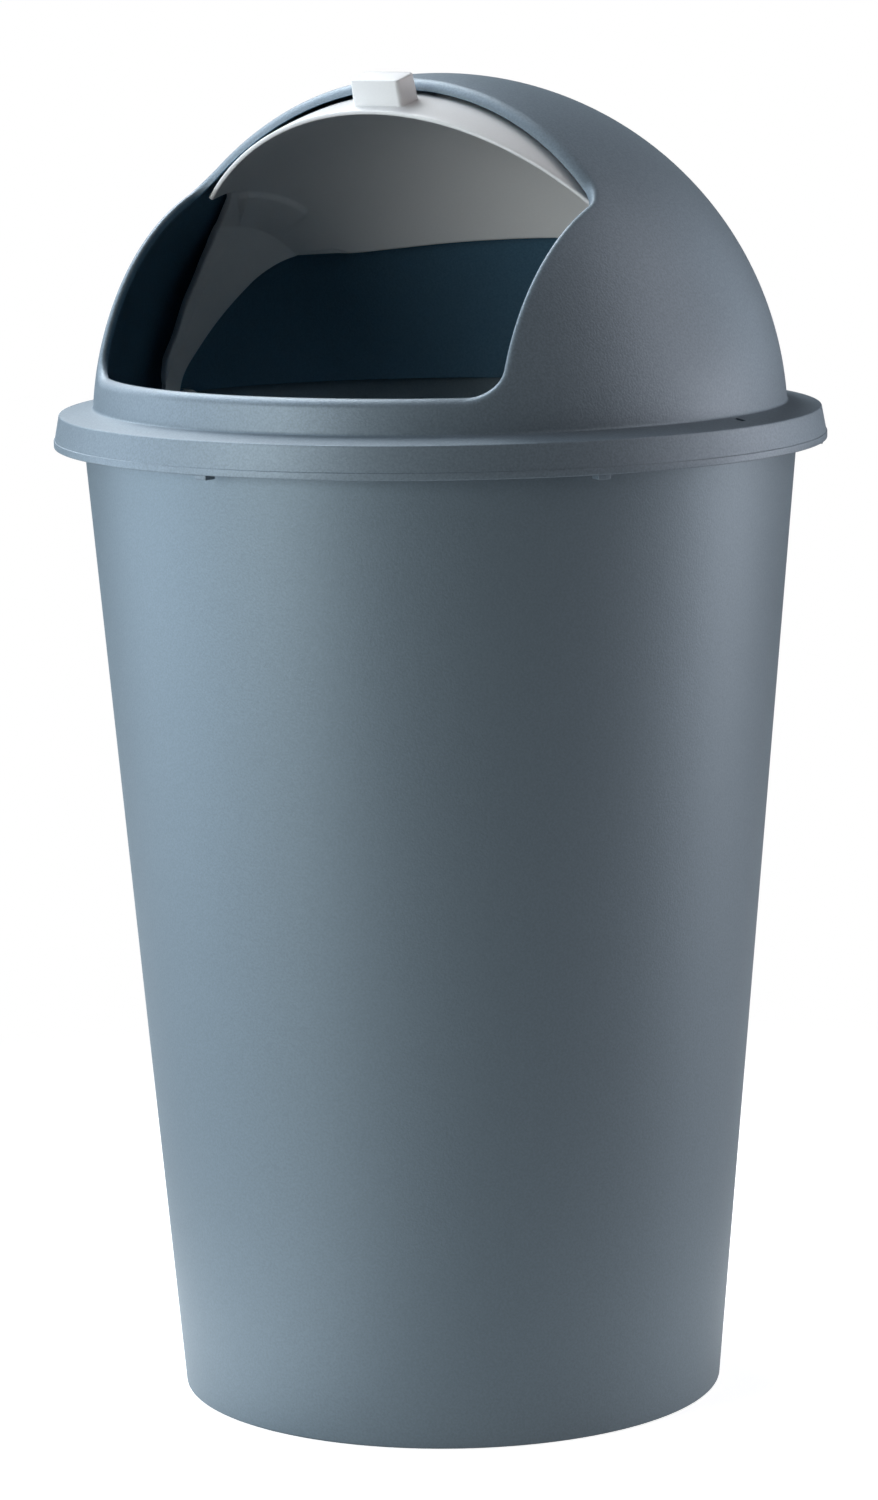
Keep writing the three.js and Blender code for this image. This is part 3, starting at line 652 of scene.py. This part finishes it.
def smooth_line(controls):
    """A smooth curve through points in a plane."""
    points = np.array(controls, float)
    ahead = np.concatenate([2 * points[:1] - points[1:2], points, 2 * points[-1:] - points[-2:-1]])
    curve = []
    for before, start, end, after in zip(ahead, ahead[1:], ahead[2:], ahead[3:]):
        for t in np.linspace(0, 1, LINE_STEPS, endpoint=False):
            bend = 2 * before - 5 * start + 4 * end - after
            twist = -before + 3 * start - 3 * end + after
            curve.append(start + ((end - before) * t + bend * t ** 2 + twist * t ** 3) / 2)
    return np.array(curve + [points[-1]])


def turn_at_rho(line, rho):
    """The turn about the pivots, up from straight ahead, at which a line in side view has a distance rho."""
    distances = np.hypot(line[:, 0], line[:, 1])
    turns = np.unwrap(np.arctan2(line[:, 1], -line[:, 0]))
    order = np.argsort(distances)
    return np.interp(rho, distances[order], turns[order])


def shell_front_line():
    heights = np.linspace(FLAP_FRONT_FROM_HEIGHT, FLAP_RADIUS, STRAIGHT_LINE_POINTS)
    return np.stack([FLAP_FRONT_OFFSET - heights * math.tan(math.radians(FLAP_FRONT_LEAN_DEG)), heights], 1)


def smooth_step(value, start, end):
    t = np.clip((value - start) / (end - start), 0, 1)
    return t * t * (3 - 2 * t)


def flap_half_profile():
    """Inner face of the flap from the middle to an arm's foot: distance from the axis, reach along it."""
    inner = FLAP_RADIUS - FLAP_WALL
    ledge_top = (TIP_RHO - TIP_ROUND, math.sqrt(inner ** 2 - (TIP_RHO - TIP_ROUND) ** 2))
    end_angle = math.acos((TIP_RHO + TIP_ROUND) / inner)
    shell_angles = np.linspace(0, end_angle, SHELL_ROWS)
    shell = [(inner * math.cos(angle), inner * math.sin(angle)) for angle in shell_angles]
    around_tip = np.linspace(TIP_RHO + TIP_ROUND, TIP_RHO - TIP_ROUND / 2, TIP_ROWS + 1)[1:]
    tip = [(rho, math.sqrt(inner ** 2 - rho ** 2)) for rho in around_tip]
    ledge_foot = (LEDGE_RHO, LEDGE_REACH)
    band_foot = (BAND_RHO, BAND_REACH)
    plate_foot = (PLATE_FOOT_RHO, PLATE_FOOT_REACH)
    shares = np.linspace(0, 1, PLATE_ROWS + 1)[2:, None]
    plate = shares * (np.array(plate_foot) - np.array(band_foot)) + np.array(band_foot)
    return [
        *shell,
        *tip,
        *fillet(tip[-1], ledge_top, ledge_foot, LEDGE_TOP_ROUND, FOLD_ROWS),
        *fillet(ledge_top, ledge_foot, band_foot, LEDGE_FOOT_ROUND, ROUND_ROWS),
        *fillet(ledge_foot, band_foot, plate_foot, BAND_FOOT_ROUND, FOLD_ROWS),
        *[tuple(point) for point in plate],
    ]


def flap_stations():
    """Pairs of inner and outer profile points from one arm's foot over the middle to the other's."""
    inner = np.array(flap_half_profile())
    along = np.gradient(inner, axis=0)
    normal = np.stack([along[:, 1], -along[:, 0]], 1)
    normal /= np.linalg.norm(normal, axis=1)[:, None]
    outer = inner + FLAP_WALL * normal
    mirror = np.array([1, -1])
    inner = np.concatenate([inner[:0:-1] * mirror, inner])
    outer = np.concatenate([outer[:0:-1] * mirror, outer])
    return inner, outer


def flap_ring(inner, outer, lines):
    """One closed section of the flap: outer face, rear edge, inner face and front edge."""
    faces = []
    for rho, reach in (outer, inner):
        to_shell = smooth_step(inner[0], TIP_RHO - TIP_ROUND, TIP_RHO + TIP_ROUND)
        arm_front = turn_at_rho(lines["arm_front"], rho)
        front = arm_front + (turn_at_rho(lines["shell_front"], rho) - arm_front) * to_shell
        crease = max(turn_at_rho(lines["crease"], rho), arm_front + CREASE_RUN_LEAST / rho)
        rise = smooth_step(rho, BAND_RHO, LEDGE_RHO)
        foot = max(crease - WALL_RUN / rho * rise, arm_front + WALL_FOOT_RUN_LEAST / rho)
        rear = turn_at_rho(lines["rear"], rho)
        turns = np.concatenate([
            np.linspace(front + FLAP_EDGE_ROUND / rho, foot, STRIP_COLUMNS, endpoint=False),
            np.linspace(foot, crease, WALL_COLUMNS, endpoint=False),
            np.linspace(crease, rear - FLAP_EDGE_ROUND / rho, PLATE_COLUMNS),
        ])
        x = side_reach(rho, abs(reach), turns, foot, crease, rear, to_shell, rho == inner[0])
        y, z = -rho * np.cos(turns), rho * np.sin(turns)
        faces.append(np.stack([np.sign(reach) * x if reach else 0 * x, y, z], 1))
    rear_round = edge_round(faces[0][-1], faces[1][-1], faces[0][-1] - faces[0][-2])
    front_round = edge_round(faces[1][0], faces[0][0], faces[0][0] - faces[0][1])
    return np.concatenate([faces[0], rear_round, faces[1][::-1], front_round]) + PIVOT


def side_reach(rho, reach, turns, foot, crease, rear, to_shell, inside):
    """Reach along the axis at each turn: the strip before the wall, the band and plate behind it."""
    x = np.full(len(turns), reach)
    if to_shell == 1:
        return x
    share = min(max((rho - BAND_RHO) / (STRIP_TOP_RHO - BAND_RHO), 0), 1)
    strip_reach = BAND_REACH + (STRIP_TOP_REACH - BAND_REACH) * share
    lift = max(strip_reach + (0 if inside else FLAP_WALL) - reach, 0) * (share > 0)
    on_wall = np.clip((crease - turns) / max(crease - foot, LEAST_TURN), 0, 1)
    ahead = np.maximum(foot - turns, 0) * rho
    growth = STRIP_TURN_OUT + (0 if inside else STRIP_THICKENING)
    x += (lift * on_wall + ahead * growth) * (1 - to_shell)
    if inside:
        depth = -rho * np.cos(turns)
        fade = smooth_step(depth, *FACET_FADE) * smooth_step(rho, *FACET_RHOS)
        sphere = math.sqrt((FLAP_RADIUS - FLAP_WALL) ** 2 - rho ** 2)
        x += (sphere - reach) * fade
        height = GUSSET_HEIGHT * (1 - ((rho - GUSSET_MIDDLE_RHO) / GUSSET_HALF_SPAN) ** 2)
        above_rear = (rear - turns) * rho
        x += GUSSET_STEP * smooth_step(height - above_rear, 0, GUSSET_STEP / 2)
    return x


def edge_round(start, end, outward):
    """Points round a thin edge from one face to the other, bulging outwards with soft corners."""
    outward = outward / np.linalg.norm(outward) * FLAP_EDGE_ROUND
    across = end - start
    reach = FLAP_EDGE_ROUND / np.linalg.norm(across)
    angles = np.radians(np.linspace(0, 90, EDGE_ROWS + 1)[1:])
    first = [start + outward * math.sin(a) + across * reach * (1 - math.cos(a)) for a in angles]
    last = [end + outward * math.sin(a) - across * reach * (1 - math.cos(a)) for a in angles[::-1]]
    return np.array(first + last)


def build_flap():
    lines = {
        "shell_front": shell_front_line(),
        "arm_front": smooth_line(ARM_FRONT_LINE),
        "crease": smooth_line(CREASE_LINE),
        "rear": smooth_line(REAR_LINE),
    }
    rings = [flap_ring(inner, outer, lines) for inner, outer in zip(*flap_stations())]
    points, faces = loft(rings, False)
    count = len(rings[0])
    faces.append(tuple(range(count)))
    faces.append(tuple(range(len(points) - count, len(points))))
    flap = mesh_object("flap_shell", points, faces)
    pin_end = SOCKET_OUTER_REACH - PIN_END_GAP
    stations = (
        (BOSS_RADIUS - PIN_END_ROUND, BOSS_INNER_REACH),
        (BOSS_RADIUS, BOSS_INNER_REACH + PIN_END_ROUND),
        (BOSS_RADIUS, BOSS_OUTER_REACH),
        (PIN_RADIUS, BOSS_OUTER_REACH),
        (PIN_RADIUS, pin_end - PIN_END_ROUND),
        (PIN_RADIUS - PIN_END_ROUND, pin_end),
    )
    combine(flap, [rod_tool("pivot", stations, degrees) for degrees in (0, 180)], "UNION")
    sharpen(flap, FLAP_SHARP_DEG)
    return flap


def rounded_rectangle(half_width, half_depth, radius, steps):
    """Points round a rectangle with round corners, about the origin."""
    points = []
    corners = ((1, 1, 0), (-1, 1, 90), (-1, -1, 180), (1, -1, 270))
    for side, end, start in corners:
        centre = (side * (half_width - radius), end * (half_depth - radius))
        points += arc(centre[0], centre[1], radius, start, start + 90, steps)
    return np.array(points)


def knob_top(outline):
    """Height of the knob's top over a point of its outline: level at the front, arched at the back."""
    back = np.clip((outline[:, 1] + KNOB_DEPTH / 2) / KNOB_DEPTH, 0, 1)
    arch = 1 - (outline[:, 0] / (KNOB_WIDTH / 2)) ** 2
    return FLAP_RADIUS + KNOB_FRONT_HEIGHT + (KNOB_BACK_HEIGHT - KNOB_FRONT_HEIGHT) * back * arch


def knob_rows():
    """Sections of the knob from its foot on the flap to its top, in its own upright frame."""
    def row(width, depth, corner, height):
        outline = rounded_rectangle(width, depth, corner, ROUND_ROWS)
        return np.column_stack([outline, height(outline)])

    def foot(outline):
        return np.sqrt(FLAP_RADIUS ** 2 - (outline ** 2).sum(1))

    rows = []
    half_width, half_depth = KNOB_WIDTH / 2, KNOB_DEPTH / 2
    for angle in np.radians(np.linspace(0, 90, KNOB_FOOT_ROWS + 1)):
        flare = KNOB_FOOT_FLARE * (1 - math.sin(angle))
        rise = KNOB_FOOT_FLARE * (1 - math.cos(angle))
        sizes = (half_width + flare, half_depth + flare, KNOB_CORNER + flare)
        rows.append(row(*sizes, lambda outline: foot(outline) + rise))
    wall_foot = rows[-1][:, 2]

    def wall(outline, share):
        return wall_foot + (knob_top(outline) - KNOB_TOP_ROUND - wall_foot) * share

    for share in np.linspace(0, 1, KNOB_WALL_ROWS)[1:]:
        width = half_width * (1 - KNOB_WIDTH_DRAFT_SHARE * share)
        depth = half_depth * (1 - KNOB_DEPTH_DRAFT_SHARE * share)
        rows.append(row(width, depth, KNOB_CORNER, lambda outline: wall(outline, share)))
    for angle in np.radians(np.linspace(0, 90, ROUND_ROWS + 1)[1:]):
        inset = KNOB_TOP_ROUND * (1 - math.cos(angle))
        sink = KNOB_TOP_ROUND * (1 - math.sin(angle))
        sizes = (width - inset, depth - inset, KNOB_CORNER - inset / 2)
        rows.append(row(*sizes, lambda outline: knob_top(outline) - sink))
    edge = rows[-1][:, :2]
    for scale in KNOB_TOP_SCALES:
        rows.append(np.column_stack([edge * scale, knob_top(edge * scale)]))
    return rows


def build_knob():
    rows = knob_rows()
    points, faces = loft(rows, False)
    count = len(rows[0])
    faces.append(tuple(range(count)))
    faces.append(tuple(range(len(points) - count, len(points))))
    lean = math.radians(KNOB_ANGLE_DEG - 90)
    turned_points = points.copy()
    turned_points[:, 1] = points[:, 1] * math.cos(lean) + points[:, 2] * math.sin(lean)
    turned_points[:, 2] = -points[:, 1] * math.sin(lean) + points[:, 2] * math.cos(lean)
    knob = mesh_object("knob_cap", turned_points + PIVOT, faces)
    sharpen(knob, KNOB_SHARP_DEG)
    return knob


def add_node(tree, kind, inputs, **settings):
    """A new shader node: first its settings, then its inputs, each a value or another node's output."""
    node = tree.nodes.new("ShaderNode" + kind)
    for name, value in settings.items():
        setattr(node, name, value)
    for name, value in inputs.items():
        if isinstance(value, bpy.types.NodeSocket):
            tree.links.new(value, node.inputs[name])
        else:
            node.inputs[name].default_value = value
    return node


def add_number(tree, operation, first, second):
    return add_node(tree, "Math", {0: first, 1: second}, operation=operation).outputs[0]


def add_vector(tree, operation, *vectors):
    """The vector that an operation gives, or its number where the operation gives one."""
    node = add_node(tree, "VectorMath", dict(enumerate(vectors)), operation=operation)
    return node.outputs["Value" if operation in ("LENGTH", "DOT_PRODUCT") else "Vector"]


def add_run(tree, value, start, end, low, high, **settings):
    """A number that goes from low to high while the value goes from start to end."""
    inputs = {"Value": value, "From Min": start, "From Max": end, "To Min": low, "To Max": high}
    return add_node(tree, "MapRange", inputs, **settings).outputs["Result"]


def add_color(tree, share, first, second):
    inputs = {"Factor": share, "A": first, "B": second}
    return add_node(tree, "Mix", inputs, data_type="RGBA").outputs["Result"]


def add_mix(tree, share, first, second):
    return add_node(tree, "MixShader", {"Fac": share, 1: first, 2: second}).outputs[0]


def add_glowing(tree, color, strength):
    """A matt surface that glows as well."""
    matt = add_node(tree, "BsdfDiffuse", {"Color": (*color, 1)})
    glow = add_node(tree, "Emission", {"Strength": strength})
    return add_node(tree, "AddShader", {0: matt.outputs[0], 1: glow.outputs[0]}).outputs[0]


def plastic(name, color, roughness, pearl, grain, fleck, inner_painted_shade=None):
    """Moulded plastic with a fine grain: colour, gloss and grain vary a little over the surface, with painted
    shade on the inside where it is given.
    """
    material = bpy.data.materials.new(name)
    material.use_nodes = True
    tree = material.node_tree
    place = add_node(tree, "TexCoord", {})
    spot = place.outputs["Object"]
    fine = add_node(tree, "TexNoise", {"Vector": spot, "Scale": GRAIN_SCALE, "Detail": GRAIN_DETAIL})
    broad = add_node(tree, "TexNoise", {"Vector": spot, "Scale": CLOUD_SCALE, "Detail": CLOUD_DETAIL})
    darker = (*[channel * (1 - fleck) for channel in color], 1)
    lighter = (*[channel * (1 + fleck) for channel in color], 1)
    shade = add_color(tree, add_run(tree, fine.outputs["Fac"], *GRAIN_SPREAD, 0, 1), darker, lighter)
    # Painted shade on the faces that look inwards, where it is given
    if inner_painted_shade:
        shade = paint_inner_shade(tree, shade, place, inner_painted_shade)
    dullest = roughness + ROUGHNESS_SPREAD
    gloss = add_run(tree, broad.outputs["Fac"], 0, 1, roughness - ROUGHNESS_SPREAD, dullest)
    bump = add_node(tree, "Bump", {"Height": fine.outputs["Fac"], "Strength": grain, "Distance": GRAIN_DEPTH})
    shader = tree.nodes["Principled BSDF"]
    shader.inputs["IOR"].default_value = PLASTIC_IOR
    shader.inputs["Metallic"].default_value = pearl
    tree.links.new(shade, shader.inputs["Base Color"])
    tree.links.new(gloss, shader.inputs["Roughness"])
    tree.links.new(bump.outputs["Normal"], shader.inputs["Normal"])
    return material


def paint_inner_shade(tree, color, place, inner_painted_shade):
    """Painted shade: the colour, deeper and bluer on faces that look towards the middle between the pivots,
    as the hood's inside lies in shade.
    """
    from_middle = add_vector(tree, "SUBTRACT", place.outputs["Object"], PIVOT * MM)
    outwards = add_vector(tree, "NORMALIZE", from_middle)
    facing = add_vector(tree, "DOT_PRODUCT", outwards, place.outputs["Normal"])
    outside = add_run(tree, facing, *PAINTED_SHADE_FACING, 0, 1)
    return add_vector(tree, "MULTIPLY", color, add_color(tree, outside, (*inner_painted_shade, 1), WHITE))


def lit_floor(tree, place, distance):
    """The floor as it lights the bin: it glows near the foot, and more at the camera's left and right."""
    azimuth = math.radians(CAMERA_AZIMUTH_DEG)
    sideways = add_vector(tree, "DOT_PRODUCT", place, (math.cos(azimuth), math.sin(azimuth), 0))
    start, end = FLOOR_SIDE_RUN
    left = add_run(tree, sideways, -start, -end, 0, FLOOR_LEFT_GLOW)
    right = add_run(tree, sideways, start, end, 0, FLOOR_RIGHT_GLOW)
    glow = add_number(tree, "ADD", add_number(tree, "ADD", left, FLOOR_NEAR_GLOW), right)
    closeness = add_run(tree, distance, *FLOOR_NEAR_RADII, 1, 0)
    return add_glowing(tree, FLOOR_COLOR, add_number(tree, "MULTIPLY", glow, closeness))


def shown_floor(tree, distance):
    """The floor as the camera sees it: pale near the bin, where its shadow falls, and white further off."""
    pale = add_glowing(tree, FLOOR_SHOWN_COLOR, FLOOR_SHOWN_GLOW)
    white = add_node(tree, "Emission", {"Strength": 1}).outputs[0]
    fade = add_run(tree, distance, *FLOOR_FADE_RADII, 0, 1, interpolation_type="SMOOTHSTEP")
    return add_mix(tree, fade, pale, white)


def build_floor():
    size = FLOOR_HALF_SIZE
    corners = [(-size, -size, 0), (size, -size, 0), (size, size, 0), (-size, size, 0)]
    mesh = bpy.data.meshes.new("floor")
    mesh.from_pydata(corners, [], [(0, 1, 2, 3)])
    floor = bpy.data.objects.new("floor", mesh)
    bpy.context.scene.collection.objects.link(floor)
    material = bpy.data.materials.new("pale_floor")
    material.use_nodes = True
    tree = material.node_tree
    tree.nodes.remove(tree.nodes["Principled BSDF"])
    place = add_node(tree, "TexCoord", {}).outputs["Object"]
    distance = add_vector(tree, "LENGTH", place)
    seen = add_node(tree, "LightPath", {}).outputs["Is Camera Ray"]
    surface = add_mix(tree, seen, lit_floor(tree, place, distance), shown_floor(tree, distance))
    tree.links.new(surface, tree.nodes["Material Output"].inputs["Surface"])
    mesh.materials.append(material)


def build_world():
    """A white background to look at, and a weak even light from it."""
    world = bpy.data.worlds.new("world")
    bpy.context.scene.world = world
    world.use_nodes = True
    tree = world.node_tree
    light = tree.nodes["Background"]
    light.inputs["Color"].default_value = WHITE
    light.inputs["Strength"].default_value = WORLD_STRENGTH
    backdrop = add_node(tree, "Background", {"Color": WHITE, "Strength": 1})
    seen = add_node(tree, "LightPath", {}).outputs["Is Camera Ray"]
    background = add_mix(tree, seen, light.outputs[0], backdrop.outputs[0])
    tree.links.new(background, tree.nodes["World Output"].inputs["Surface"])


def build_light(name, azimuth_deg, distance, height, width, tall, power, color, aim_height):
    """A soft box that faces the bin's axis at a height."""
    azimuth = math.radians(CAMERA_AZIMUTH_DEG + azimuth_deg)
    position = Vector((math.sin(azimuth) * distance, -math.cos(azimuth) * distance, height))
    light = bpy.data.lights.new(name, "AREA")
    light.shape = "RECTANGLE"
    light.size = width
    light.size_y = tall
    light.energy = power
    light.color = color
    box = bpy.data.objects.new(name, light)
    aim = Vector((0, 0, aim_height)) - position
    box.matrix_world = Matrix.Translation(position) @ aim.to_track_quat("-Z", "Y").to_matrix().to_4x4()
    bpy.context.scene.collection.objects.link(box)


def build_camera():
    azimuth = math.radians(CAMERA_AZIMUTH_DEG)
    pitch = math.radians(CAMERA_PITCH_DEG)
    roll = math.radians(CAMERA_ROLL_DEG)
    level_right = Vector((math.cos(azimuth), math.sin(azimuth), 0))
    level_forward = Vector((-math.sin(azimuth), math.cos(azimuth), 0))
    forward = level_forward * math.cos(pitch) - Vector((0, 0, math.sin(pitch)))
    level_up = level_right.cross(forward)
    right = level_right * math.cos(roll) - level_up * math.sin(roll)
    up = level_right * math.sin(roll) + level_up * math.cos(roll)
    lens = bpy.data.cameras.new("camera")
    lens.sensor_width = CAMERA_SENSOR_WIDTH
    lens.lens = CAMERA_LENS
    lens.clip_end = CAMERA_CLIP_END
    camera = bpy.data.objects.new("camera", lens)
    rotation = Matrix((right, up, -forward)).transposed()
    camera.matrix_world = Matrix.Translation(CAMERA_PLACE) @ rotation.to_4x4()
    bpy.context.scene.collection.objects.link(camera)
    bpy.context.scene.camera = camera


pieces = (
    (build_bucket(), "bucket", "bucket"),
    (build_hood(), "hood", "hood"),
    (build_flap(), "flap", "flap"),
    (build_knob(), "flap", "knob"),
)
for piece, body, node in pieces:
    # The hood gets painted shade on its inside, darker and bluer
    inner_painted_shade = HOOD_INNER_PAINTED_SHADE if node == "hood" else None
    piece.data.materials.append(plastic(node + "_plastic", **PLASTICS[node], inner_painted_shade=inner_painted_shade))
    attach(piece, body)
    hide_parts(node)

bpy.context.scene.view_settings.view_transform = "Standard"
build_camera()
build_floor()
build_world()
for name, box in SOFT_BOXES.items():
    build_light(name, *box)
